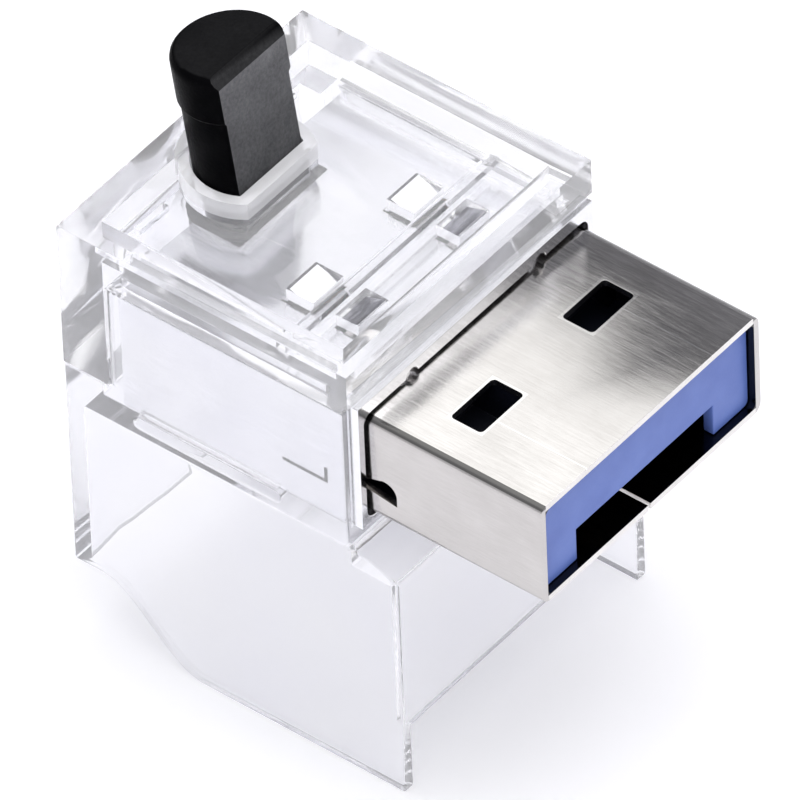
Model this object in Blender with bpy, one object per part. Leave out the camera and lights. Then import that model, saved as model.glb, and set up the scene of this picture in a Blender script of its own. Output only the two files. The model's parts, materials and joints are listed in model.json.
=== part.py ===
"""A clear-cased USB plug module with one push button, standing on its open skirt.

Lengths are written in millimetres and turned into metres when a mesh is made.
Places are given from the plug root: x runs along the plug from where it leaves its case,
y is zero on the middle plane, and z is zero on the plug's centre line.
"""

import math

import bmesh
import bpy
from mathutils import Vector

MM = 0.001
PLUG_ROOT_X = 2.86
PLUG_AXIS_Z = 14.07
ARC_STEPS = 8

# Plug
PLUG_LENGTH = 7.3
PLUG_HALF_WIDTH = 6.0
PLUG_HALF_HEIGHT = 2.25
PLUG_CORNER = 0.4
PLUG_INNER_CORNER = 0.25
PLUG_WALL = 0.28
PLUG_REAR = -3.2
WINDOW_X = 2.7
WINDOW_Y = 3.05
WINDOW_LENGTH = 1.35
WINDOW_WIDTH = 2.35
WINDOW_CORNER = 0.16
SIDE_NOTCH_REAR = -0.9
SIDE_NOTCH_LOW = (-1.0, -1.25)
SIDE_NOTCH_TOP = -0.75
SIDE_NOTCH_CENTRE = (0.5, -0.85)
SIDE_NOTCH_RADIUS = 0.5
SEAM_Y = -0.18
SEAM_WIDTH = 0.14
TONGUE_RECESS = 0.3
TONGUE_CLEARANCE = 0.03
LIP_THICKNESS = 0.45
MOUTH_HALF_WIDTH = 3.76
MOUTH_TOP = -0.55
TONGUE_UNDERSIDE = 0.1
TONGUE_SIDE_WALL = 0.68
WELL_X = (1.0, 3.6)
WELL_Y = (1.8, 5.2)
WELL_FLOOR = 0.35
WELL_SIDE_X = (0.9, 1.7)
WELL_SIDE_FLOOR = -0.2
NOTCH_RELIEF_X = (-1.2, 1.2)
NOTCH_RELIEF_Z = (-1.6, -0.3)

# Contacts
CONTACT_THICKNESS = 0.14
CONTACT_Z = 0.0
CONTACT_FOOT_X = (-4.9, -4.1)
USB2_TAIL_Y = (-3.2, -1.0, 1.0, 3.2)
USB2_PAD_Y = (-3.5, -1.0, 1.0, 3.5)
USB2_PAD_X = (2.9, 6.2)
USB2_PAD_WIDTH = 1.0
SUPERSPEED_Y = (-4.2, -2.1, 0.0, 2.1, 4.2)
TAIL_WIDTH = 0.42
PAD_INSET = 0.3
SPRING_BUMP = ((2.2, -0.12), (1.9, -0.38), (1.55, -0.5), (1.2, -0.42), (0.6, -0.12), (0.2, 0.0))
SPACER_X = (PLUG_REAR, -0.3)
SPACER_HALF_WIDTH = 4.8
SPACER_BOTTOM = -1.9

# Steel shield
SHIELD_REAR = -10.6
SHIELD_FRONT = -0.66
SHIELD_HALF_WIDTH = 6.35
SHIELD_BOTTOM = -2.65
SHIELD_TOP = 2.6
SHEET = 0.15
TOP_NOTCH_FRONT = -8.55
REAR_NOTCH_LOW = 0.8
NOTCH_HALF_WIDTH = 2.4
LANCE_X = (-3.6, -1.62)
LANCE_Z = (-1.25, -0.55)
LANCE_WIDTH = 0.15
TAB_WINDOW_Y = (1.9, 3.62)
TAB_Y = (2.0, 3.52)
TAB_THICKNESS = 0.1
REAR_WINDOW_X = (-5.75, -4.3)
REAR_TAB = ((-5.95, 2.53), (-5.55, 2.53), (-5.46, 2.62), (-5.43, 3.42), (-4.48, 3.14))
FRONT_WINDOW_X = (-3.45, -2.3)
FRONT_TAB = ((-2.05, 2.53), (-2.36, 2.53), (-2.47, 2.62), (-2.5, 3.4), (-3.32, 3.1))
FRAME_BACK = -0.6
FRAME_FRONT = -0.18
FRAME_HALF_WIDTH = 6.45
FRAME_TOP = 2.98
FRAME_GAP = 0.15
NOTCH_RADIUS = 0.34
NOTCH_Y = 3.5

# Clear housing
HOUSING_REAR = -13.02
HOUSING_HALF_WIDTH = 6.72
COVER_FRONT = -0.42
COVER_TOP = 4.56
COVER_UNDERSIDE = 2.75
COVER_REAR_WALL_INNER = -11.9
COVER_LEG_BOTTOM = -1.8
COVER_LEG_FRONT = -11.0
COVER_LEG_INNER = 5.1
COVER_LEG_TOP = 3.0
TRAY_FLOOR = 3.45
TRAY_X = (-11.9, -1.4)
TRAY_HALF_WIDTH = 5.62
RIB_X = (-4.0, -3.6)
RIB_TOP = 3.72
RIB_ROOT = 0.15
REAR_PORT_X = (-5.56, -4.36)
FRONT_PORT_X = (-3.4, -2.4)
PORT_Y = (1.94, 3.58)
REAR_BAR_X = (-11.6, -11.35)
REAR_BAR_Y = (2.75, 4.3)
REAR_BAR_BOTTOM = 3.05
GROOVE_X = (-10.6, -1.7)
GROOVE_Y = (5.6, 5.95)
GROOVE_TOP = 3.15
PART_GAP = 0.05
SIDE_WALL_INNER = 6.4
POCKET_REAR = -11.5
DECK_TOP = -2.7
DECK_UNDERSIDE = -3.9
GAP_SLOT_X = (-10.0, -3.6)
GAP_SLOT_HALF_HEIGHT = 0.22
SKIRT_FRONT = 1.43
SKIRT_WALL = 0.5
SKIRT_SIDE_INNER = 6.22
SKIRT_BOTTOM = -11.2
SKIRT_HOLLOW_FRONT = -0.8
FRONT_HOLLOW_REAR = -1.0
FRONT_EDGE_REAR = 0.5
FOOT_BOTTOM = -PLUG_AXIS_Z
FOOT_REAR = -7.6
FOOT_CURVE_REAR = -11.8
STEP_TOP = -3.6
STEP_FRONT = -4.2
PEG_X = -5.9
PEG_Y = 5.3
PEG_RADIUS = 0.4
PEG_HOLE_GAP = 0.08
BEYOND = 1.0

# Circuit board
BOARD_X = (-10.4, -3.6)
BOARD_HALF_WIDTH = 6.1
BOARD_TOP = -0.9
BOARD_THICKNESS = 0.8
SOLDER_GAP = 0.02

# Push button, in its own frame: z runs up its axis from the top of the collar
BUTTON_X = -10.03
BUTTON_Z = 4.4
BUTTON_LEAN = math.radians(8.0)
STEM_RADIUS = 1.95
STEM_FLAT = 0.97
HEAD_RADIUS = 2.05
HEAD_FLAT = 1.0
HEAD_START = 2.9
BUTTON_TOP = 4.92
BUTTON_FOOT = -2.6
BUTTON_CHAMFER = 0.35
BUTTON_CHAMFER_DROP = 0.43
BUTTON_ROUNDING = 0.27
RUNNING_CLEARANCE = 0.06
COLLAR_WALL = 0.42
COLLAR_TOP = 4.42
RETAINER_RADIUS = 2.4
RETAINER_FLAT = 1.22
RETAINER_Z = (-2.35, -1.98)
RETAINER_GROOVE_RADIUS = 1.75
RETAINER_GROOVE_FLAT = 0.8
PUSHER_X = 0.29
PUSHER_RADIUS = 0.58
PUSHER_END = -3.15

# Tactile switch and return spring
SWITCH_X = -9.3
SWITCH_LENGTH = 2.08
SWITCH_HALF_WIDTH = 1.6
SWITCH_TOP = 0.5
PLUNGER_RADIUS = 0.5
PLUNGER_TOP = 1.19
PLUNGER_BOTTOM = 0.0
SPRING_TOP = 1.7
SPRING_RADIUS = 0.82
SPRING_WIRE = 0.12
SPRING_TURNS = 2.5


def at(x, y, z):
    """A point given from the plug root, in metres from the object's own origin."""
    return Vector(((x + PLUG_ROOT_X) * MM, y * MM, (z + PLUG_AXIS_Z) * MM))


def clear_scene():
    for obj in list(bpy.data.objects):
        bpy.data.objects.remove(obj, do_unlink=True)


def surface(name, colour, roughness, metallic=0.0, transmission=0.0):
    material = bpy.data.materials.new(name)
    material.use_nodes = True
    shader = material.node_tree.nodes["Principled BSDF"]
    shader.inputs["Base Color"].default_value = (*colour, 1.0)
    shader.inputs["Roughness"].default_value = roughness
    shader.inputs["Metallic"].default_value = metallic
    shader.inputs["Transmission Weight"].default_value = transmission
    return material


def mesh_object(name, mesh_points, mesh_faces, material):
    mesh = bpy.data.meshes.new(name)
    work = bmesh.new()
    corners = [work.verts.new(point) for point in mesh_points]
    for face in mesh_faces:
        work.faces.new([corners[index] for index in face])
    bmesh.ops.recalc_face_normals(work, faces=work.faces)
    work.to_mesh(mesh)
    work.free()
    obj = bpy.data.objects.new(name, mesh)
    bpy.context.scene.collection.objects.link(obj)
    if material:
        mesh.materials.append(material)
    return obj


def loft(name, rings, material=None):
    """A closed skin through rings of the same number of points, with a flat end at each end."""
    count = len(rings[0])
    points = [point for ring in rings for point in ring]
    faces = [tuple(range(count)), tuple(range(len(points) - count, len(points)))]
    for level in range(len(rings) - 1):
        for index in range(count):
            first = level * count + index
            second = level * count + (index + 1) % count
            faces.append((first, second, second + count, first + count))
    return mesh_object(name, points, faces, material)


def block(name, x, y, z, material=None):
    corners = ((x[0], y[0]), (x[1], y[0]), (x[1], y[1]), (x[0], y[1]))
    rings = [[at(corner_x, corner_y, level) for corner_x, corner_y in corners] for level in z]
    return loft(name, rings, material)


def slab(name, outline, along, low, high, material=None):
    """An outline drawn square to the axis `along`, drawn out from low to high on it."""
    place = {
        "x": lambda a, b, reach: at(reach, a, b),
        "y": lambda a, b, reach: at(a, reach, b),
        "z": lambda a, b, reach: at(a, b, reach),
    }[along]
    rings = [[place(a, b, reach) for a, b in outline] for reach in (low, high)]
    return loft(name, rings, material)


def arc(centre, radius, start, end, steps=ARC_STEPS):
    """Points on an arc, from the start angle to the end angle in degrees."""
    points = []
    for step in range(steps + 1):
        angle = math.radians(start + (end - start) * step / steps)
        points.append((centre[0] + radius * math.cos(angle), centre[1] + radius * math.sin(angle)))
    return points


def rounded_rectangle(half_width, half_height, radius, steps=4):
    outline = []
    corners = ((1, 1, 0), (-1, 1, 90), (-1, -1, 180), (1, -1, 270))
    for side, height, start in corners:
        centre = (side * (half_width - radius), height * (half_height - radius))
        outline += arc(centre, radius, start, start + 90, steps)
    return outline


def circle(centre, radius, steps=24):
    return arc(centre, radius, 0, 360 - 360 / steps, steps - 1)


def stadium(x, z, half_height):
    """A slot outline with round ends, from x[0] to x[1]."""
    right_end = arc((x[1] - half_height, z), half_height, -90, 90, 6)
    left_end = arc((x[0] + half_height, z), half_height, 90, 270, 6)
    return right_end + left_end


def d_outline(radius, flat, steps=32):
    """A round outline with one flat, which faces +X at the given distance from the centre."""
    half_angle = math.degrees(math.acos(flat / radius))
    return arc((0, 0), radius, half_angle, 360 - half_angle, steps)


def modify(target, tool, operation):
    modifier = target.modifiers.new(tool.name, "BOOLEAN")
    modifier.operation = operation
    modifier.object = tool
    modifier.solver = "EXACT"
    tool.hide_render = True
    tool.display_type = "WIRE"


def cut(target, *tools):
    for tool in tools:
        modify(target, tool, "DIFFERENCE")


def join(target, *tools):
    for tool in tools:
        modify(target, tool, "UNION")


def smooth(obj, degrees=35):
    obj.data.shade_smooth()
    obj.data.set_sharp_from_angle(angle=math.radians(degrees))


def lean(obj):
    """Moves a piece drawn in the button's own frame, in metres from its origin, to its leaning place."""
    obj.location = at(BUTTON_X, 0, BUTTON_Z)
    obj.rotation_euler = (0, -BUTTON_LEAN, 0)


def button_ring(height, radius, flat):
    return [Vector((x * MM, y * MM, height * MM)) for x, y in d_outline(radius, flat)]


# Clear housing


def foot_curve(steps=10):
    """The lower edge of the skirt's sides, sweeping from the rear wall down to the foot."""
    points = []
    for step in range(steps + 1):
        share = step / steps
        drop = share * share * (3 - 2 * share)
        x = FOOT_CURVE_REAR + (FOOT_REAR - FOOT_CURVE_REAR) * share
        points.append((x, SKIRT_BOTTOM + (FOOT_BOTTOM - SKIRT_BOTTOM) * drop))
    return points


def both_sides():
    """The near side and the far side, each with the sign of its y."""
    return (("near", -1), ("far", 1))


def mirrored(sign, span):
    """A span of y given for the far side, put on the side with this sign."""
    return sorted((sign * span[0], sign * span[1]))


def step_curve():
    """The rounded step at the front, from the skirt's front edge back up to the deck."""
    run = SKIRT_FRONT - SHIELD_FRONT - PEG_RADIUS
    points = []
    for share in (0.0, 0.15, 0.35, 0.55, 0.75, 0.9, 1.0):
        rise = math.sin(share * math.pi / 2)
        points.append((SKIRT_FRONT - run * share, STEP_FRONT + (STEP_TOP - STEP_FRONT) * rise))
    return points


def lower_body(material):
    wall_rear = COVER_LEG_FRONT + PART_GAP
    side_top = COVER_UNDERSIDE - PART_GAP
    ledge = COVER_LEG_BOTTOM - PART_GAP
    outline = [(HOUSING_REAR, ledge), (HOUSING_REAR, SKIRT_BOTTOM)]
    outline += foot_curve()
    outline += [(SKIRT_FRONT, FOOT_BOTTOM)]
    outline += step_curve()
    outline += [(SHIELD_FRONT, STEP_TOP), (SHIELD_FRONT, side_top), (wall_rear, side_top), (wall_rear, ledge)]
    side = HOUSING_HALF_WIDTH
    body = slab("clear_lower_body", outline, "y", -side, side, material)

    inner = (-SIDE_WALL_INNER, SIDE_WALL_INNER)
    skirt_inner = (-SKIRT_SIDE_INNER, SKIRT_SIDE_INNER)
    below = FOOT_BOTTOM - BEYOND
    shield_pocket = block("shield_pocket", (POCKET_REAR, 0), inner, (DECK_TOP, COVER_TOP))
    skirt_hollow_x = (HOUSING_REAR + SKIRT_WALL, SKIRT_HOLLOW_FRONT)
    skirt_hollow = block("skirt_hollow", skirt_hollow_x, skirt_inner, (below, DECK_UNDERSIDE))
    front_hollow_x = (FRONT_HOLLOW_REAR, SKIRT_FRONT - SKIRT_WALL)
    front_hollow = block("front_hollow", front_hollow_x, skirt_inner, (below, STEP_FRONT - SKIRT_WALL))
    front_edge_x = (FRONT_EDGE_REAR, SKIRT_FRONT + BEYOND)
    front_edge = block("front_edge", front_edge_x, skirt_inner, (below, SKIRT_BOTTOM))
    slot_outline = stadium(GAP_SLOT_X, DECK_TOP - GAP_SLOT_HALF_HEIGHT, GAP_SLOT_HALF_HEIGHT)
    gap_slot = slab("gap_slot", slot_outline, "y", -side - BEYOND, side + BEYOND)
    gap_top_x = (GAP_SLOT_X[0] + GAP_SLOT_HALF_HEIGHT, GAP_SLOT_X[1] - GAP_SLOT_HALF_HEIGHT)
    gap_top_z = (DECK_TOP - GAP_SLOT_HALF_HEIGHT, DECK_TOP + GAP_SLOT_HALF_HEIGHT)
    gap_top = block("gap_top", gap_top_x, inner, gap_top_z)
    cut(body, shield_pocket, skirt_hollow, front_hollow, front_edge, gap_slot, gap_top)
    for side_name, sign in both_sides():
        peg_outline = circle((PEG_X, sign * PEG_Y), PEG_RADIUS, 16)
        peg = slab(f"peg_{side_name}", peg_outline, "z", STEP_TOP, BOARD_TOP + PEG_RADIUS)
        join(body, peg)
    return body


def cover_body(material):
    """The lid with its rear wall and corner legs, and the shallow tray in its top."""
    side = HOUSING_HALF_WIDTH
    across = (-side, side)
    lid_z = (COVER_UNDERSIDE, COVER_TOP)
    cover = block("clear_top_cover", (HOUSING_REAR, COVER_FRONT), across, lid_z, material)
    leg_z = (COVER_LEG_BOTTOM, COVER_LEG_TOP)
    rear_wall = block("rear_wall", (HOUSING_REAR, COVER_REAR_WALL_INNER), across, leg_z)
    join(cover, rear_wall)
    for side_name, sign in both_sides():
        leg_y = mirrored(sign, (COVER_LEG_INNER, side))
        leg = block(f"corner_leg_{side_name}", (HOUSING_REAR, COVER_LEG_FRONT), leg_y, leg_z)
        join(cover, leg)
    above = COVER_TOP + BEYOND
    tray = block("tray", TRAY_X, (-TRAY_HALF_WIDTH, TRAY_HALF_WIDTH), (TRAY_FLOOR, above))
    relief_x = (FRAME_BACK - PART_GAP, COVER_FRONT + BEYOND)
    relief_z = (COVER_UNDERSIDE - BEYOND, FRAME_TOP + PART_GAP)
    mouth_relief = block("mouth_relief", relief_x, (-side - BEYOND, side + BEYOND), relief_z)
    cut(cover, tray, mouth_relief)
    return cover


def top_cover(material):
    cover = cover_body(material)
    gap = RUNNING_CLEARANCE
    collar_outline = d_outline(STEM_RADIUS + gap + COLLAR_WALL, STEM_FLAT + 2 * gap + COLLAR_WALL)
    collar_outline = [(x + BUTTON_X, y) for x, y in collar_outline]
    collar = slab("collar", collar_outline, "z", COVER_UNDERSIDE + PART_GAP, COLLAR_TOP)
    rib_y = (-TRAY_HALF_WIDTH - RIB_ROOT, TRAY_HALF_WIDTH + RIB_ROOT)
    cross_rib = block("cross_rib", RIB_X, rib_y, (TRAY_FLOOR - RIB_ROOT, RIB_TOP))
    join(cover, collar, cross_rib)

    bore_size = (STEM_RADIUS + gap, STEM_FLAT + gap)
    bore = loft("bore", [button_ring(-4, *bore_size), button_ring(1.5, *bore_size)])
    counterbore_size = (RETAINER_RADIUS + 0.2, RETAINER_FLAT + 0.3)
    counterbore_top = RETAINER_Z[1] + PART_GAP
    counterbore_rings = [button_ring(-5, *counterbore_size), button_ring(counterbore_top, *counterbore_size)]
    counterbore = loft("counterbore", counterbore_rings)
    lean(bore)
    lean(counterbore)
    cut(cover, bore, counterbore)
    low = COVER_UNDERSIDE - BEYOND
    high = COVER_TOP + BEYOND
    for side_name, sign in both_sides():
        port_y = mirrored(sign, PORT_Y)
        rear_port = block(f"rear_port_{side_name}", REAR_PORT_X, port_y, (low, high))
        front_port = block(f"front_port_{side_name}", FRONT_PORT_X, port_y, (low, high))
        bar_y = mirrored(sign, REAR_BAR_Y)
        rear_bar = block(f"rear_bar_{side_name}", REAR_BAR_X, bar_y, (REAR_BAR_BOTTOM, high))
        groove = block(f"groove_{side_name}", GROOVE_X, mirrored(sign, GROOVE_Y), (low, GROOVE_TOP))
        cut(cover, rear_port, front_port, rear_bar, groove)
    return cover


# Steel shield


def strip(path, thickness):
    """The edge outline of a bent strip whose middle line follows the path."""
    upper = []
    lower = []
    for index, (x, z) in enumerate(path):
        before = path[max(index - 1, 0)]
        after = path[min(index + 1, len(path) - 1)]
        run = Vector((after[0] - before[0], after[1] - before[1])).normalized()
        upper.append((x - run.y * thickness / 2, z + run.x * thickness / 2))
        lower.append((x + run.y * thickness / 2, z - run.x * thickness / 2))
    return upper + lower[::-1]


def shield(material):
    """A thin steel can, open in front, notched for the button, with pressed tabs in its top."""
    wide = SHIELD_HALF_WIDTH
    can_z = (SHIELD_BOTTOM, SHIELD_TOP)
    can = block("steel_shield", (SHIELD_REAR, SHIELD_FRONT), (-wide, wide), can_z, material)
    inside = block(
        "shield_inside",
        (SHIELD_REAR + SHEET, SHIELD_FRONT + BEYOND),
        (-wide + SHEET, wide - SHEET),
        (SHIELD_BOTTOM + SHEET, SHIELD_TOP - SHEET),
    )
    sheet_z = (SHIELD_TOP - 2 * SHEET, SHIELD_TOP + SHEET)
    notch_y = (-NOTCH_HALF_WIDTH, NOTCH_HALF_WIDTH)
    top_notch = block("top_notch", (SHIELD_REAR - SHEET, TOP_NOTCH_FRONT), notch_y, sheet_z)
    rear_notch_x = (SHIELD_REAR - SHEET, SHIELD_REAR + 2 * SHEET)
    rear_notch = block("rear_notch", rear_notch_x, notch_y, (REAR_NOTCH_LOW, SHIELD_TOP + SHEET))
    cut(can, inside, top_notch, rear_notch)
    floor_z = (SHIELD_BOTTOM - SHEET, SHIELD_BOTTOM + 2 * SHEET)
    for side_name, sign in both_sides():
        hole_outline = circle((PEG_X, sign * PEG_Y), PEG_RADIUS + PEG_HOLE_GAP, 16)
        hole = slab(f"peg_hole_{side_name}", hole_outline, "z", *floor_z)
        lance_y = mirrored(sign, (wide - 2 * SHEET, wide + SHEET))
        lance = block(f"lance_{side_name}", LANCE_X, lance_y, (LANCE_Z[0], LANCE_Z[0] + LANCE_WIDTH))
        lance_end_x = (LANCE_X[1] - LANCE_WIDTH, LANCE_X[1])
        lance_end = block(f"lance_end_{side_name}", lance_end_x, lance_y, LANCE_Z)
        window_y = mirrored(sign, TAB_WINDOW_Y)
        rear_window = block(f"rear_window_{side_name}", REAR_WINDOW_X, window_y, sheet_z)
        front_window = block(f"front_window_{side_name}", FRONT_WINDOW_X, window_y, sheet_z)
        cut(can, hole, lance, lance_end, rear_window, front_window)
        tab_y = mirrored(sign, TAB_Y)
        rear_tab = slab(f"rear_tab_{side_name}", strip(REAR_TAB, TAB_THICKNESS), "y", *tab_y)
        front_tab = slab(f"front_tab_{side_name}", strip(FRONT_TAB, TAB_THICKNESS), "y", *tab_y)
        join(can, rear_tab, front_tab)
    return can


def mouth_frame(material):
    wide = FRAME_HALF_WIDTH
    frame_z = (SHIELD_BOTTOM, FRAME_TOP)
    frame = block("mouth_frame", (FRAME_BACK, FRAME_FRONT), (-wide, wide), frame_z, material)
    half_height = PLUG_HALF_HEIGHT + FRAME_GAP
    opening_outline = rounded_rectangle(PLUG_HALF_WIDTH + FRAME_GAP, half_height, PLUG_CORNER)
    opening = slab("frame_opening", opening_outline, "x", FRAME_BACK - BEYOND, FRAME_FRONT + BEYOND)
    cut(frame, opening)
    for side_name, sign in both_sides():
        notch_outline = circle((sign * NOTCH_Y, half_height - PART_GAP), NOTCH_RADIUS)
        notch = slab(f"half_round_{side_name}", notch_outline, "x", FRAME_BACK - BEYOND, FRAME_FRONT + BEYOND)
        cut(frame, notch)
    return frame


# Plug


def plug_shell(material):
    """The folded steel sleeve, its seam underneath, with two windows on top and a notch in each side."""
    outer = rounded_rectangle(PLUG_HALF_WIDTH, PLUG_HALF_HEIGHT, PLUG_CORNER)
    inner = rounded_rectangle(PLUG_HALF_WIDTH - PLUG_WALL, PLUG_HALF_HEIGHT - PLUG_WALL, PLUG_INNER_CORNER)
    shell = slab("plug_shell", outer, "x", PLUG_REAR, PLUG_LENGTH, material)
    through_x = (PLUG_REAR - BEYOND, PLUG_LENGTH + BEYOND)
    inside = slab("plug_inside", inner, "x", *through_x)
    seam_y = (SEAM_Y - SEAM_WIDTH / 2, SEAM_Y + SEAM_WIDTH / 2)
    wall_low = (-PLUG_HALF_HEIGHT - PLUG_WALL, -PLUG_HALF_HEIGHT + 2 * PLUG_WALL)
    wall_high = (PLUG_HALF_HEIGHT - 2 * PLUG_WALL, PLUG_HALF_HEIGHT + PLUG_WALL)
    seam = block("seam", through_x, seam_y, wall_low)
    cut(shell, inside, seam)
    notch_outline = [(SIDE_NOTCH_REAR, SIDE_NOTCH_LOW[0]), (SIDE_NOTCH_REAR, SIDE_NOTCH_TOP)]
    notch_outline += arc(SIDE_NOTCH_CENTRE, SIDE_NOTCH_RADIUS, 120, 0)
    notch_outline += [(SIDE_NOTCH_CENTRE[0] + SIDE_NOTCH_RADIUS, SIDE_NOTCH_LOW[1])]
    for side_name, sign in both_sides():
        outline = rounded_rectangle(WINDOW_LENGTH / 2, WINDOW_WIDTH / 2, WINDOW_CORNER)
        outline = [(x + WINDOW_X, y + sign * WINDOW_Y) for x, y in outline]
        window = slab(f"plug_window_{side_name}", outline, "z", *wall_high)
        side_y = mirrored(sign, (PLUG_HALF_WIDTH - 2 * PLUG_WALL, PLUG_HALF_WIDTH + PLUG_WALL))
        side_notch = slab(f"side_notch_{side_name}", notch_outline, "y", *side_y)
        cut(shell, window, side_notch)
    smooth(shell)
    return shell


def plug_tongue(material):
    """The insulator: a plate with side walls and a front lip, and wells under the shell's windows."""
    front = PLUG_LENGTH - TONGUE_RECESS
    lip_back = front - LIP_THICKNESS
    inset = PLUG_WALL + TONGUE_CLEARANCE
    outline = rounded_rectangle(PLUG_HALF_WIDTH - inset, PLUG_HALF_HEIGHT - inset, PLUG_INNER_CORNER)
    tongue = slab("blue_tongue", outline, "x", PLUG_REAR, front, material)
    low = -PLUG_HALF_HEIGHT - BEYOND
    high = PLUG_HALF_HEIGHT + BEYOND
    inner = PLUG_HALF_WIDTH - PLUG_WALL - TONGUE_SIDE_WALL
    hollow = block("tongue_hollow", (PLUG_REAR - BEYOND, lip_back), (-inner, inner), (low, TONGUE_UNDERSIDE))
    mouth_x = (lip_back - BEYOND, front + BEYOND)
    mouth = block("tongue_mouth", mouth_x, (-MOUTH_HALF_WIDTH, MOUTH_HALF_WIDTH), (low, MOUTH_TOP))
    cut(tongue, hollow, mouth)
    for side_name, sign in both_sides():
        well = block(f"well_{side_name}", WELL_X, mirrored(sign, WELL_Y), (WELL_FLOOR, high))
        beside = mirrored(sign, (inner - PLUG_WALL, PLUG_HALF_WIDTH))
        side_well = block(f"side_well_{side_name}", WELL_SIDE_X, beside, (WELL_SIDE_FLOOR, high))
        notch_relief = block(f"notch_relief_{side_name}", NOTCH_RELIEF_X, beside, NOTCH_RELIEF_Z)
        cut(tongue, well, side_well, notch_relief)
    return tongue


def contact_tail():
    """The way from the tongue down to the board, ending in the soldered foot."""
    foot_z = BOARD_TOP + SOLDER_GAP + CONTACT_THICKNESS / 2
    bend_x = PLUG_REAR - 0.35
    tail = [(bend_x, CONTACT_Z)]
    tail += [(bend_x - 0.2, CONTACT_Z - 0.08), (CONTACT_FOOT_X[1] + 0.2, foot_z + 0.12)]
    tail += [(CONTACT_FOOT_X[1], foot_z), (CONTACT_FOOT_X[0], foot_z)]
    return tail


def contacts(material):
    half = TAIL_WIDTH / 2
    pad_z = (CONTACT_Z - CONTACT_THICKNESS / 2, CONTACT_Z + CONTACT_THICKNESS / 2)
    for number, (tail_y, pad_y) in enumerate(zip(USB2_TAIL_Y, USB2_PAD_Y), start=1):
        outline = strip([(USB2_PAD_X[1] - PAD_INSET, CONTACT_Z)] + contact_tail(), CONTACT_THICKNESS)
        contact = slab(f"usb2_contact_{number}", outline, "y", tail_y - half, tail_y + half, material)
        pad_span = (pad_y - USB2_PAD_WIDTH / 2, pad_y + USB2_PAD_WIDTH / 2)
        pad = block(f"usb2_pad_{number}", USB2_PAD_X, pad_span, pad_z)
        join(contact, pad)
    for number, contact_y in enumerate(SUPERSPEED_Y, start=1):
        outline = strip(list(SPRING_BUMP) + contact_tail(), CONTACT_THICKNESS)
        slab(f"superspeed_contact_{number}", outline, "y", contact_y - half, contact_y + half, material)


def contact_spacer(material):
    wide = (-SPACER_HALF_WIDTH, SPACER_HALF_WIDTH)
    below_contacts = CONTACT_Z - CONTACT_THICKNESS / 2 - PART_GAP
    return block("contact_spacer", SPACER_X, wide, (SPACER_BOTTOM, below_contacts), material)


# Circuit board and what it carries


def circuit_board(material):
    board = block(
        "circuit_board",
        BOARD_X,
        (-BOARD_HALF_WIDTH, BOARD_HALF_WIDTH),
        (BOARD_TOP - BOARD_THICKNESS, BOARD_TOP),
        material,
    )
    for side_name, sign in both_sides():
        hole_outline = circle((PEG_X, sign * PEG_Y), PEG_RADIUS + PART_GAP, 16)
        hole = slab(f"board_hole_{side_name}", hole_outline, "z", BOARD_TOP - BEYOND, BOARD_TOP + BEYOND)
        cut(board, hole)
    return board


def on_board(name, centre, size, material, under=False):
    """A small part soldered flat on the board, on top of it or under it."""
    x = (centre[0] - size[0] / 2, centre[0] + size[0] / 2)
    y = (centre[1] - size[1] / 2, centre[1] + size[1] / 2)
    base = BOARD_TOP + SOLDER_GAP
    z = (base, base + size[2])
    if under:
        base = BOARD_TOP - BOARD_THICKNESS - SOLDER_GAP
        z = (base - size[2], base)
    return block(name, x, y, z, material)


def board_parts(black, tin, ceramic, lens):
    on_board("microcontroller", (-7.3, 0), (4.0, 4.0, 0.7), black, under=True)
    on_board("flash_chip", (-9.3, 3.6), (2.0, 3.0, 0.6), black)
    on_board("crystal", (-9.3, -3.7), (2.0, 2.5, 0.55), tin)
    on_board("voltage_regulator", (-6.6, -2.6), (1.6, 2.9, 0.95), black)
    on_board("indicator_led", (-7.2, 4.6), (0.8, 1.6, 0.6), lens)
    for number, place_y in enumerate((-0.2, 0.9, 2.0), start=1):
        on_board(f"capacitor_{number}", (-6.4, place_y), (1.0, 0.5, 0.5), ceramic)
    for number, place_y in enumerate((0.35, 1.45, 2.55), start=1):
        on_board(f"resistor_{number}", (-5.6, place_y), (0.5, 0.5, 0.35), black)


def switch(metal, rubber):
    x = (SWITCH_X - SWITCH_LENGTH / 2, SWITCH_X + SWITCH_LENGTH / 2)
    body = block(
        "switch_body",
        x,
        (-SWITCH_HALF_WIDTH, SWITCH_HALF_WIDTH),
        (BOARD_TOP + SOLDER_GAP, SWITCH_TOP),
        metal,
    )
    well = slab("switch_well", circle((SWITCH_X, 0), PLUNGER_RADIUS + RUNNING_CLEARANCE), "z", -0.75, 2)
    cut(body, well)
    slab("switch_plunger", circle((SWITCH_X, 0), PLUNGER_RADIUS), "z", PLUNGER_BOTTOM, PLUNGER_TOP, rubber)


def return_spring(material):
    """A coil round the pusher, from the top of the switch to the foot of the button."""
    bottom = SWITCH_TOP + 0.02 + SPRING_WIRE / 2
    top = SPRING_TOP - SPRING_WIRE / 2
    steps = int(SPRING_TURNS * 16)
    curve = bpy.data.curves.new("return_spring", "CURVE")
    curve.dimensions = "3D"
    curve.bevel_depth = SPRING_WIRE / 2 * MM
    curve.bevel_resolution = 1
    curve.use_fill_caps = True
    line = curve.splines.new("POLY")
    line.points.add(steps)
    for step in range(steps + 1):
        angle = 2 * math.pi * SPRING_TURNS * step / steps
        x = SWITCH_X + SPRING_RADIUS * math.cos(angle)
        y = SPRING_RADIUS * math.sin(angle)
        line.points[step].co = (*at(x, y, bottom + (top - bottom) * step / steps), 1)
    curve.materials.append(material)
    spring = bpy.data.objects.new("return_spring", curve)
    bpy.context.scene.collection.objects.link(spring)


# Push button


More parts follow.
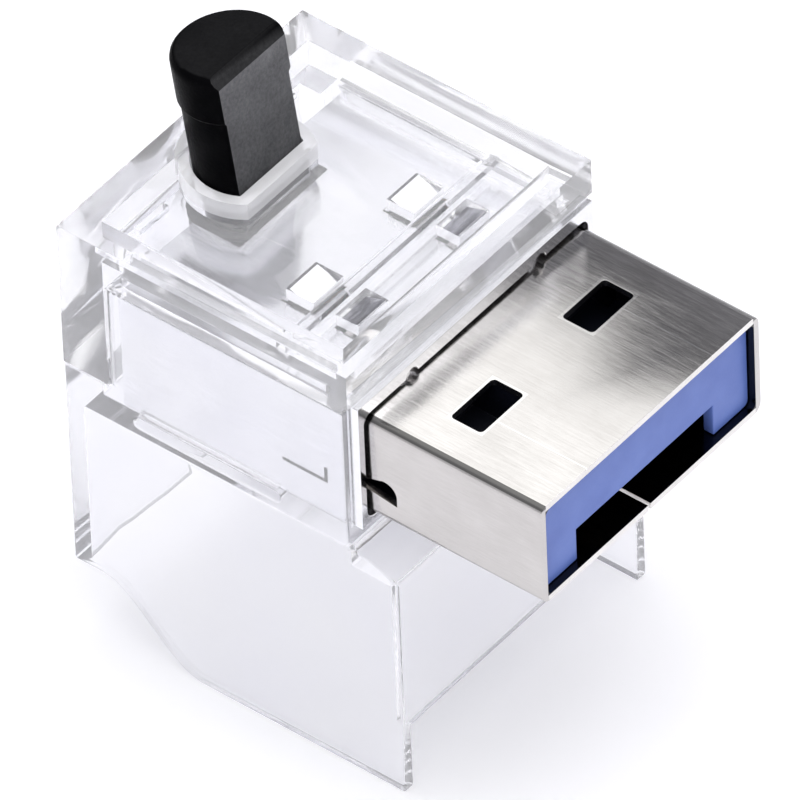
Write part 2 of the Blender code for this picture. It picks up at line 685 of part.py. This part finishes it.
def push_button(material):
    """A D-shaped stem with a wider head, a groove for the retainer, and a round pusher underneath."""
    groove = (RETAINER_GROOVE_RADIUS, RETAINER_GROOVE_FLAT)
    stem = (STEM_RADIUS, STEM_FLAT)
    chamfer_start = BUTTON_TOP - BUTTON_CHAMFER_DROP
    rings = [
        button_ring(BUTTON_FOOT, STEM_RADIUS - 0.1, STEM_FLAT - 0.1),
        button_ring(BUTTON_FOOT + 0.1, *stem),
        button_ring(RETAINER_Z[0] - 0.02, *stem),
        button_ring(RETAINER_Z[0] - 0.019, *groove),
        button_ring(RETAINER_Z[1] + 0.019, *groove),
        button_ring(RETAINER_Z[1] + 0.02, *stem),
        button_ring(HEAD_START, *stem),
        button_ring(HEAD_START + 0.15, HEAD_RADIUS, HEAD_FLAT),
        button_ring(chamfer_start, HEAD_RADIUS, HEAD_FLAT),
    ]
    for angle in (0, 30, 60, 90):
        turn = math.radians(angle)
        height = BUTTON_TOP - BUTTON_ROUNDING * (1 - math.sin(turn))
        radius = HEAD_RADIUS - BUTTON_ROUNDING * (1 - math.cos(turn))
        chamfer = BUTTON_CHAMFER * (height - chamfer_start) / BUTTON_CHAMFER_DROP
        rings.append(button_ring(height, radius, HEAD_FLAT - chamfer))
    button = loft("push_button", rings, material)
    pusher_rings = []
    for height in (PUSHER_END, BUTTON_FOOT + 0.3):
        outline = circle((PUSHER_X, 0), PUSHER_RADIUS)
        pusher_rings.append([Vector((x * MM, y * MM, height * MM)) for x, y in outline])
    pusher = loft("pusher", pusher_rings)
    lean(button)
    lean(pusher)
    join(button, pusher)
    smooth(button)


def button_retainer(material):
    """A flat D ring that sits in the stem's groove, under the cover."""
    size = (RETAINER_RADIUS, RETAINER_FLAT)
    ring = loft(
        "button_retainer",
        [button_ring(RETAINER_Z[0], *size), button_ring(RETAINER_Z[1], *size)],
        material,
    )
    hole_size = (RETAINER_GROOVE_RADIUS + 0.03, RETAINER_GROOVE_FLAT + 0.03)
    hole_rings = [button_ring(RETAINER_Z[0] - 1, *hole_size), button_ring(RETAINER_Z[1] + 1, *hole_size)]
    hole = loft("retainer_hole", hole_rings)
    lean(ring)
    lean(hole)
    cut(ring, hole)


def main():
    clear_scene()
    clear = surface("clear_polycarbonate", (0.93, 0.93, 0.97), 0.05, transmission=1.0)
    steel = surface("shield_steel", (0.74, 0.74, 0.77), 0.32, metallic=1.0)
    nickel = surface("plug_steel", (0.72, 0.70, 0.68), 0.28, metallic=1.0)
    blue = surface("blue_plastic", (0.13, 0.22, 0.62), 0.4)
    gold = surface("gold_plating", (0.83, 0.62, 0.25), 0.25, metallic=1.0)
    black = surface("black_plastic", (0.02, 0.02, 0.022), 0.42)
    board = surface("board_laminate", (0.02, 0.16, 0.07), 0.45)
    ceramic = surface("capacitor_ceramic", (0.45, 0.33, 0.2), 0.5)
    white = surface("white_plastic", (0.85, 0.85, 0.83), 0.45)
    lower_body(clear)
    top_cover(clear)
    shield(steel)
    mouth_frame(steel)
    plug_shell(nickel)
    plug_tongue(blue)
    contacts(gold)
    contact_spacer(black)
    circuit_board(board)
    board_parts(black, steel, ceramic, white)
    switch(steel, black)
    return_spring(steel)
    push_button(black)
    button_retainer(black)


main()
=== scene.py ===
"""Looks of the clear-cased USB plug module: fine pieces over the frame, materials, light and camera."""

import json
import math

import bmesh
import bpy
from mathutils import Matrix, Vector


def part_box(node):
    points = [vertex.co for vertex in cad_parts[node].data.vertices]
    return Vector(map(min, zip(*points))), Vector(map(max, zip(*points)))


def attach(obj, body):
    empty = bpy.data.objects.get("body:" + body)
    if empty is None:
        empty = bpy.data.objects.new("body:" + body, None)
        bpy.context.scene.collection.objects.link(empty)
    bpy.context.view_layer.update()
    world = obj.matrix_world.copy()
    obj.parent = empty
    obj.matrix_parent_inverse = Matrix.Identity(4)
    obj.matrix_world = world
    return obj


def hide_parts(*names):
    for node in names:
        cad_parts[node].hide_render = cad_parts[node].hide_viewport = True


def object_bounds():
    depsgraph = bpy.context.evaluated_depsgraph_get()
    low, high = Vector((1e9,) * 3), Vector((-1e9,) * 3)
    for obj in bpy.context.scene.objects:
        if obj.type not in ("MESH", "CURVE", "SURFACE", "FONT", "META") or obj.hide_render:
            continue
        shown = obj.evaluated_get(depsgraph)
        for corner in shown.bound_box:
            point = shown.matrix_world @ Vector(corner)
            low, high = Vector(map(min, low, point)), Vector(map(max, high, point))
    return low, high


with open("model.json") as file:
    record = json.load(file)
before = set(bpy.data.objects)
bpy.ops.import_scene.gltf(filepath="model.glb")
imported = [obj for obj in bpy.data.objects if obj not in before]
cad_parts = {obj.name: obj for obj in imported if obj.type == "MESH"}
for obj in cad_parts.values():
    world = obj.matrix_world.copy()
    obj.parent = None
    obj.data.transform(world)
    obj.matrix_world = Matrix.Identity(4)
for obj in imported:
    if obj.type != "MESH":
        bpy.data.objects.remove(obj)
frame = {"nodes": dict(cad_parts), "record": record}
nodes = frame["nodes"]
cad_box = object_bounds()
MM = 0.001

# Places on the plug and its windows, read from the frame
shell_low, shell_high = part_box("plug_shell")
PLUG_TOP = shell_high.z
PLUG_FRONT = shell_high.x
PLUG_SIDE = shell_high.y
PLUG_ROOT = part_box("mouth_frame")[1].x + 0.18 * MM
PLUG_AXIS = (shell_low.z + shell_high.z) / 2
PLUG_SHEET = 0.27 * MM
CORNER_DROP = 0.15 * MM
WINDOW_CENTRE_X = PLUG_ROOT + 2.7 * MM
WINDOW_CENTRE_Y = 3.05 * MM
WINDOW_HALF_X = 0.68 * MM
WINDOW_HALF_Y = 1.18 * MM
RIM_WIDTH = 0.1 * MM
FOLD_Y = 3.45 * MM

# The collar and the button in it
cover_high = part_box("clear_top_cover")[1]
COLLAR_CENTRE = cover_high.x - 9.61 * MM
COLLAR_RADIUS = 2.5 * MM
COLLAR_FOOT = cover_high.z - 0.85 * MM
BUTTON_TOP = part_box("push_button")[1].z


# Node helpers


def new_material(name):
    material = bpy.data.materials.new(name)
    material.use_nodes = True
    tree = material.node_tree
    return material, tree, tree.nodes["Principled BSDF"]


def link(tree, source, target):
    tree.links.new(source, target)


def coordinates(tree, scale):
    """The object's own coordinates, stretched by the scale along each axis."""
    place = tree.nodes.new("ShaderNodeTexCoord")
    mapping = tree.nodes.new("ShaderNodeMapping")
    mapping.inputs["Scale"].default_value = scale
    link(tree, place.outputs["Object"], mapping.inputs["Vector"])
    return mapping.outputs["Vector"]


def noise_of(tree, scale, detail=3.0, roughness=0.55):
    texture = tree.nodes.new("ShaderNodeTexNoise")
    texture.inputs["Scale"].default_value = 1.0
    texture.inputs["Detail"].default_value = detail
    texture.inputs["Roughness"].default_value = roughness
    link(tree, coordinates(tree, scale), texture.inputs["Vector"])
    return texture.outputs["Fac"]


def ramp(tree, source, stops):
    node = tree.nodes.new("ShaderNodeValToRGB")
    elements = node.color_ramp.elements
    while len(elements) < len(stops):
        elements.new(0.5)
    for element, (place, colour) in zip(elements, stops):
        element.position = place
        element.color = (*colour, 1.0)
    link(tree, source, node.inputs["Fac"])
    return node.outputs["Color"]


def greys(*stops):
    """Stops of a ramp in plain grey."""
    return [(place, (grey, grey, grey)) for place, grey in stops]


def spread(tree, source, low, high):
    """Maps a pattern's middle values to a range of numbers."""
    node = tree.nodes.new("ShaderNodeMapRange")
    node.inputs["From Min"].default_value = 0.25
    node.inputs["From Max"].default_value = 0.75
    node.inputs["To Min"].default_value = low
    node.inputs["To Max"].default_value = high
    link(tree, source, node.inputs["Value"])
    return node.outputs["Result"]


def bump(tree, shader, source, distance, strength):
    node = tree.nodes.new("ShaderNodeBump")
    node.inputs["Distance"].default_value = distance
    node.inputs["Strength"].default_value = strength
    link(tree, source, node.inputs["Height"])
    link(tree, node.outputs["Normal"], shader.inputs["Normal"])


def place_of(tree):
    """The place on the object, split into x, y and z in metres."""
    place = tree.nodes.new("ShaderNodeTexCoord")
    split = tree.nodes.new("ShaderNodeSeparateXYZ")
    link(tree, place.outputs["Object"], split.inputs["Vector"])
    return split.outputs


def sum_of(tree, operation, first, second):
    """A sum of two values, each a number or another node's output."""
    node = tree.nodes.new("ShaderNodeMath")
    node.operation = operation
    for socket, value in zip(node.inputs, (first, second)):
        if isinstance(value, (int, float)):
            socket.default_value = value
        else:
            link(tree, value, socket)
    return node.outputs["Value"]


def off_centre(tree, value, centre):
    """How far a value lies from a centre, either way."""
    return sum_of(tree, "ABSOLUTE", sum_of(tree, "SUBTRACT", value, centre), 0.0)


def mixed(tree, share, first, second):
    """Two colours mixed by a share from 0 to 1."""
    node = tree.nodes.new("ShaderNodeMix")
    node.data_type = "RGBA"
    link(tree, share, node.inputs["Factor"])
    for socket, colour in ((node.inputs[6], first), (node.inputs[7], second)):
        if isinstance(colour, tuple):
            socket.default_value = (*colour, 1.0)
        else:
            link(tree, colour, socket)
    return node.outputs[2]


# Materials


def clear_plastic():
    """Polished polycarbonate with a faint lilac cast, made milky white in the collar as a painted highlight.
    Lamps shine through it.
    """
    material, tree, shader = new_material("clear_polycarbonate")
    x, y, z = place_of(tree)
    # Painted highlight: the collar above its foot is made less clear, so it shows milky white.
    along = sum_of(tree, "SUBTRACT", x, COLLAR_CENTRE)
    out = sum_of(tree, "ADD", sum_of(tree, "MULTIPLY", along, along), sum_of(tree, "MULTIPLY", y, y))
    near_button = sum_of(tree, "LESS_THAN", sum_of(tree, "POWER", out, 0.5), COLLAR_RADIUS)
    high = sum_of(tree, "GREATER_THAN", z, COLLAR_FOOT)
    collar = sum_of(tree, "MULTIPLY", near_button, high)
    highlight_milk = spread(tree, noise_of(tree, (700, 700, 700), 3.0), 0.42, 0.5)
    clear = sum_of(tree, "SUBTRACT", 0.88, sum_of(tree, "MULTIPLY", collar, highlight_milk))
    link(tree, clear, shader.inputs["Transmission Weight"])
    shader.inputs["IOR"].default_value = 1.24
    shader.inputs["Coat Weight"].default_value = 1.0
    shader.inputs["Coat Roughness"].default_value = 0.03
    shader.inputs["Coat IOR"].default_value = 1.45
    cast = noise_of(tree, (260, 260, 260), 2.0)
    colour = ramp(tree, cast, [(0.3, (0.97, 0.97, 0.995)), (0.7, (0.99, 0.99, 1.0))])
    link(tree, colour, shader.inputs["Base Color"])
    haze = noise_of(tree, (900, 900, 900), 4.0)
    link(tree, spread(tree, haze, 0.02, 0.04), shader.inputs["Roughness"])
    flow = noise_of(tree, (420, 420, 180), 2.0)
    bump(tree, shader, flow, 0.01 * MM, 0.2)
    see_through = tree.nodes.new("ShaderNodeBsdfTransparent")
    see_through.inputs["Color"].default_value = (0.93, 0.93, 0.95, 1.0)
    path = tree.nodes.new("ShaderNodeLightPath")
    mix = tree.nodes.new("ShaderNodeMixShader")
    link(tree, path.outputs["Is Shadow Ray"], mix.inputs["Fac"])
    link(tree, shader.outputs["BSDF"], mix.inputs[1])
    link(tree, see_through.outputs["BSDF"], mix.inputs[2])
    link(tree, mix.outputs["Shader"], tree.nodes["Material Output"].inputs["Surface"])
    return material


def brushed_metal(name, dark, light, rough, grain, depth):
    """Sheet metal with a brushed grain: long along one axis and fine across it."""
    material, tree, shader = new_material(name)
    shader.inputs["Metallic"].default_value = 1.0
    streaks = noise_of(tree, grain, 5.0, 0.7)
    blotches = noise_of(tree, (500, 500, 500), 3.0)
    fine = sum_of(tree, "MULTIPLY", streaks, 0.6)
    joined = sum_of(tree, "ADD", fine, sum_of(tree, "MULTIPLY", blotches, 0.4))
    colour = ramp(tree, joined, [(0.35, dark), (0.65, light)])
    link(tree, colour, shader.inputs["Base Color"])
    link(tree, spread(tree, streaks, rough - 0.06, rough + 0.1), shader.inputs["Roughness"])
    bump(tree, shader, streaks, depth, 0.5)
    return material, tree, shader, colour


def plug_steel():
    """The plug's sleeve: brushed and a little crowned, with painted shade inside and on its sides, painted
    highlights on the window rims and fold lines, and a painted dark reflection along its top corners.
    """
    material, tree, shader, colour = brushed_metal(
        "plug_steel", (0.66, 0.64, 0.62), (0.86, 0.84, 0.82), 0.17, (900, 14000, 14000), 0.003 * MM
    )
    x, y, z = place_of(tree)
    across = off_centre(tree, y, 0.0)
    up = off_centre(tree, z, PLUG_AXIS)
    # Painted shade: everything inside the sleeve's sheet is near black.
    inside_across = sum_of(tree, "LESS_THAN", across, PLUG_SIDE - PLUG_SHEET)
    inside_up = sum_of(tree, "LESS_THAN", up, PLUG_TOP - PLUG_AXIS - PLUG_SHEET)
    inside = sum_of(tree, "MULTIPLY", inside_across, inside_up)
    # Painted highlights: near-white lines along the fold lines and round the windows on the top.
    near_line = sum_of(tree, "LESS_THAN", off_centre(tree, across, FOLD_Y), 0.03 * MM)
    before_window = sum_of(tree, "GREATER_THAN", x, WINDOW_CENTRE_X + WINDOW_HALF_X)
    on_top = sum_of(tree, "GREATER_THAN", z, PLUG_TOP - 0.05 * MM)
    line = sum_of(tree, "MULTIPLY", near_line, before_window)
    past_x = sum_of(tree, "SUBTRACT", off_centre(tree, x, WINDOW_CENTRE_X), WINDOW_HALF_X)
    past_y = sum_of(tree, "SUBTRACT", off_centre(tree, across, WINDOW_CENTRE_Y), WINDOW_HALF_Y)
    rim = sum_of(tree, "LESS_THAN", sum_of(tree, "MAXIMUM", past_x, past_y), RIM_WIDTH)
    painted_highlight = sum_of(tree, "MULTIPLY", sum_of(tree, "MAXIMUM", line, rim), on_top)
    highlighted = mixed(tree, sum_of(tree, "MULTIPLY", painted_highlight, 0.75), colour, (0.98, 0.97, 0.95))
    at_edge = sum_of(tree, "GREATER_THAN", across, PLUG_SIDE - 0.3 * MM)
    # Painted reflection: a near-black line along the top corners, where the bend mirrors dark surroundings.
    at_corner = sum_of(tree, "MULTIPLY", at_edge, sum_of(tree, "GREATER_THAN", z, PLUG_TOP - CORNER_DROP))
    corner_reflected = mixed(tree, sum_of(tree, "MULTIPLY", at_corner, 0.85), highlighted, (0.06, 0.06, 0.06))
    # Painted shade: the sides below the corners are darkened halfway to grey.
    on_side = sum_of(tree, "MULTIPLY", at_edge, sum_of(tree, "LESS_THAN", z, PLUG_TOP - CORNER_DROP))
    side_shaded = mixed(tree, sum_of(tree, "MULTIPLY", on_side, 0.5), corner_reflected, (0.36, 0.34, 0.34))
    # Painted shade inside the sleeve.
    dark = mixed(tree, inside, side_shaded, (0.03, 0.03, 0.035))
    link(tree, dark, shader.inputs["Base Color"])
    crown = sum_of(tree, "MULTIPLY", sum_of(tree, "MULTIPLY", y, y), -13.0)
    crowned = tree.nodes.new("ShaderNodeBump")
    crowned.inputs["Distance"].default_value = 1.0
    link(tree, crown, crowned.inputs["Height"])
    grain_bump = shader.inputs["Normal"].links[0].from_node
    link(tree, crowned.outputs["Normal"], grain_bump.inputs["Normal"])
    return material


def blue_plastic():
    """The insulator's blue, with painted shade turning it near black behind its front lip."""
    material, tree, shader = moulded(
        "blue_plastic", (0.095, 0.16, 0.5), (0.125, 0.2, 0.56), 0.42, 12000, 0.006 * MM
    )
    blue = shader.inputs["Base Color"].links[0].from_socket
    # Painted shade: from the front lip back, the blue runs to near black.
    depth = tree.nodes.new("ShaderNodeMapRange")
    depth.inputs["From Min"].default_value = PLUG_FRONT - 1.5 * MM
    depth.inputs["From Max"].default_value = PLUG_FRONT - 0.8 * MM
    link(tree, place_of(tree)["X"], depth.inputs["Value"])
    link(tree, mixed(tree, depth.outputs["Result"], (0.004, 0.005, 0.012), blue), shader.inputs["Base Color"])
    return material


def moulded(name, dark, light, rough, grain, depth, specular=0.5):
    """Moulded plastic with a fine spark-eroded texture."""
    material, tree, shader = new_material(name)
    shader.inputs["Specular IOR Level"].default_value = specular
    pattern = noise_of(tree, (grain, grain, grain), 3.0, 0.6)
    broad = noise_of(tree, (600, 600, 600), 2.0)
    link(tree, ramp(tree, broad, [(0.3, dark), (0.7, light)]), shader.inputs["Base Color"])
    link(tree, spread(tree, pattern, rough - 0.05, rough + 0.08), shader.inputs["Roughness"])
    bump(tree, shader, pattern, depth, 0.6)
    return material, tree, shader


def button_plastic():
    """Black plastic, with painted light making it grey on its flat and a little on its top."""
    material, tree, shader = moulded(
        "button_plastic", (0.0015, 0.0015, 0.002), (0.0025, 0.0025, 0.003), 0.34, 9000, 0.02 * MM, 0.01
    )
    black = shader.inputs["Base Color"].links[0].from_socket
    place = tree.nodes.new("ShaderNodeTexCoord")
    facing = tree.nodes.new("ShaderNodeSeparateXYZ")
    link(tree, place.outputs["Normal"], facing.inputs["Vector"])
    # Painted light: faces turned to the front and to the top are greyed, more so higher up, with speckles and
    # blotches.
    ahead = ramp(tree, facing.outputs["X"], greys((0.58, 0.0), (0.66, 0.18), (0.85, 0.2), (0.97, 1.0)))
    above = ramp(tree, facing.outputs["Z"], greys((0.9, 0.0), (0.97, 0.06)))
    either = sum_of(tree, "MAXIMUM", ahead, above)
    rise = tree.nodes.new("ShaderNodeMapRange")
    rise.inputs["From Min"].default_value = cover_high.z
    rise.inputs["From Max"].default_value = BUTTON_TOP
    rise.inputs["To Min"].default_value = 0.55
    rise.inputs["To Max"].default_value = 1.0
    link(tree, place_of(tree)["Z"], rise.inputs["Value"])
    speckle = spread(tree, noise_of(tree, (7000, 7000, 7000), 4.0, 0.7), 0.6, 1.1)
    blotch = spread(tree, noise_of(tree, (700, 700, 700), 2.0), 0.75, 1.15)
    painted_light = sum_of(tree, "MULTIPLY", sum_of(tree, "MULTIPLY", either, rise.outputs["Result"]), blotch)
    speckled_light = sum_of(tree, "MULTIPLY", painted_light, speckle)
    link(tree, mixed(tree, speckled_light, black, (0.2, 0.2, 0.21)), shader.inputs["Base Color"])
    return material


def make_materials():
    gold = ("gold_plating", (0.72, 0.5, 0.18), (0.9, 0.68, 0.3), 0.22, (900, 6000, 6000), 0.002 * MM)
    shield = ("shield_steel", (0.78, 0.78, 0.81), (0.88, 0.88, 0.91), 0.14, (600, 12000, 12000), 0.001 * MM)
    mouldings = (
        ("black_plastic", (0.012, 0.012, 0.013), (0.025, 0.025, 0.027), 0.5, 14000, 0.008 * MM),
        ("board_laminate", (0.01, 0.11, 0.045), (0.02, 0.19, 0.08), 0.35, 5000, 0.004 * MM),
        ("capacitor_ceramic", (0.36, 0.25, 0.14), (0.5, 0.37, 0.22), 0.5, 14000, 0.006 * MM),
        ("white_plastic", (0.78, 0.78, 0.76), (0.88, 0.88, 0.86), 0.4, 9000, 0.005 * MM),
    )
    made = {
        "clear_plastic": clear_plastic(),
        "shield_steel": brushed_metal(*shield)[0],
        "plug_steel": plug_steel(),
        "blue_plastic": blue_plastic(),
        "button_plastic": button_plastic(),
        "gold_plating": brushed_metal(*gold)[0],
    }
    for moulding in mouldings:
        made[moulding[0]] = moulded(*moulding)[0]
    return made


# Pieces


def fine_copy(name, node, body, slot_name, bevel):
    """A piece with the CAD node's own shape, its flat faces joined and its edges rounded."""
    mesh = bpy.data.meshes.new(name)
    work = bmesh.new()
    work.from_mesh(nodes[node].data)
    bmesh.ops.remove_doubles(work, verts=work.verts, dist=0.0005 * MM)
    bmesh.ops.dissolve_limit(work, angle_limit=math.radians(1.0), verts=work.verts, edges=work.edges)
    work.to_mesh(mesh)
    work.free()
    piece = bpy.data.objects.new(name, mesh)
    bpy.context.scene.collection.objects.link(piece)
    rounding = piece.modifiers.new("rounding", "BEVEL")
    rounding.width = bevel
    rounding.segments = 2
    rounding.limit_method = "ANGLE"
    rounding.angle_limit = math.radians(30)
    rounding.use_clamp_overlap = True
    rounding.harden_normals = True
    mesh.shade_smooth()
    mesh.set_sharp_from_angle(angle=math.radians(50))
    mesh.materials.append(materials[slot_name])
    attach(piece, body)
    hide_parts(node)
    return piece


materials = make_materials()
slot_of = {row["node"]: row["material_slot"] for row in frame["record"]["subparts"]}
for node_name, node_object in nodes.items():
    node_object.data.materials.clear()
    node_object.data.materials.append(materials[slot_of[node_name]])

fine_copy("lower_body", "clear_lower_body", "housing", "clear_plastic", 0.09 * MM)
fine_copy("top_cover", "clear_top_cover", "housing", "clear_plastic", 0.09 * MM)
fine_copy("shield_can", "steel_shield", "housing", "shield_steel", 0.03 * MM)
fine_copy("mouth_bezel", "mouth_frame", "housing", "shield_steel", 0.03 * MM)
fine_copy("plug_sleeve", "plug_shell", "housing", "plug_steel", 0.045 * MM)
fine_copy("insulator", "blue_tongue", "housing", "blue_plastic", 0.05 * MM)
fine_copy("button_cap", "push_button", "button", "button_plastic", 0.03 * MM)


# Stage, light and camera


def make_floor():
    mesh = bpy.data.meshes.new("floor")
    work = bmesh.new()
    bmesh.ops.create_grid(work, x_segments=2, y_segments=2, size=1.5)
    work.to_mesh(mesh)
    work.free()
    floor = bpy.data.objects.new("floor", mesh)
    floor.location.z = -0.0001 * MM
    bpy.context.scene.collection.objects.link(floor)
    material, tree, shader = new_material("floor_paper")
    shader.inputs["Roughness"].default_value = 0.5
    shader.inputs["Emission Color"].default_value = (0.95, 0.95, 1.0, 1.0)
    shader.inputs["Emission Strength"].default_value = 0.2
    tone = noise_of(tree, (30, 30, 30), 2.0)
    colour = ramp(tree, tone, [(0.3, (0.90, 0.895, 0.93)), (0.7, (0.93, 0.93, 0.95))])
    link(tree, colour, shader.inputs["Base Color"])
    mesh.materials.append(material)


def make_world():
    """A white studio: bright overhead, half as bright in front, and dark low down at the far side."""
    world = bpy.data.worlds.new("studio")
    bpy.context.scene.world = world
    world.use_nodes = True
    tree = world.node_tree
    place = tree.nodes.new("ShaderNodeTexCoord")
    split = tree.nodes.new("ShaderNodeSeparateXYZ")
    link(tree, place.outputs["Generated"], split.inputs["Vector"])
    overhead = (0.68, (1.0, 1.0, 1.0))
    height = split.outputs["Z"]
    front = ramp(tree, height, [(0.0, (0.5, 0.5, 0.52)), (0.5, (0.5, 0.5, 0.51)), overhead])
    behind = ramp(tree, height, [(0.0, (0.2, 0.2, 0.22)), (0.57, (0.09, 0.09, 0.1)), overhead])
    share = tree.nodes.new("ShaderNodeMapRange")
    share.inputs["From Min"].default_value = 0.1
    share.inputs["From Max"].default_value = 0.45
    link(tree, split.outputs["Y"], share.inputs["Value"])
    sky = mixed(tree, share.outputs["Result"], front, behind)
    background = tree.nodes["Background"]
    link(tree, sky, background.inputs["Color"])
    background.inputs["Strength"].default_value = 1.25


def softbox(name, direction, distance, size, radiance):
    """A square soft light aimed at the middle of the object."""
    centre = (cad_box[0] + cad_box[1]) / 2
    data = bpy.data.lights.new(name, "AREA")
    data.shape = "RECTANGLE"
    data.size = size
    data.size_y = size
    data.energy = radiance * math.pi * size * size
    lamp = bpy.data.objects.new(name, data)
    toward = Vector(direction).normalized()
    lamp.location = centre + toward * distance
    lamp.rotation_mode = "QUATERNION"
    lamp.rotation_quaternion = toward.to_track_quat("Z", "Y")
    lamp.visible_camera = False
    bpy.context.scene.collection.objects.link(lamp)


def make_camera():
    """A long lens, looking down on the plug's near corner."""
    data = bpy.data.cameras.new("camera")
    data.sensor_width = 36.0
    data.lens = 1039.5
    data.clip_start = 0.01
    data.clip_end = 10.0
    camera = bpy.data.objects.new("camera", data)
    right = Vector((0.7832, 0.6211, -0.0302)).normalized()
    forward = Vector((-0.4650, 0.5521, -0.6921)).normalized()
    right = (right - forward * right.dot(forward)).normalized()
    up = right.cross(forward)
    turn = Matrix((right, up, -forward)).transposed()
    camera.rotation_mode = "QUATERNION"
    camera.rotation_quaternion = turn.to_quaternion()
    camera.location = Vector((0.36686, -0.4366, 0.55787))
    bpy.context.scene.collection.objects.link(camera)
    bpy.context.scene.camera = camera


make_floor()
make_world()
softbox("key", (0.15, 0.1, 1.0), 0.3, 0.2, 1.4)
softbox("fill", (0.9, -0.35, 0.45), 0.3, 0.16, 0.6)
make_camera()
bpy.context.scene.view_settings.view_transform = "Standard"
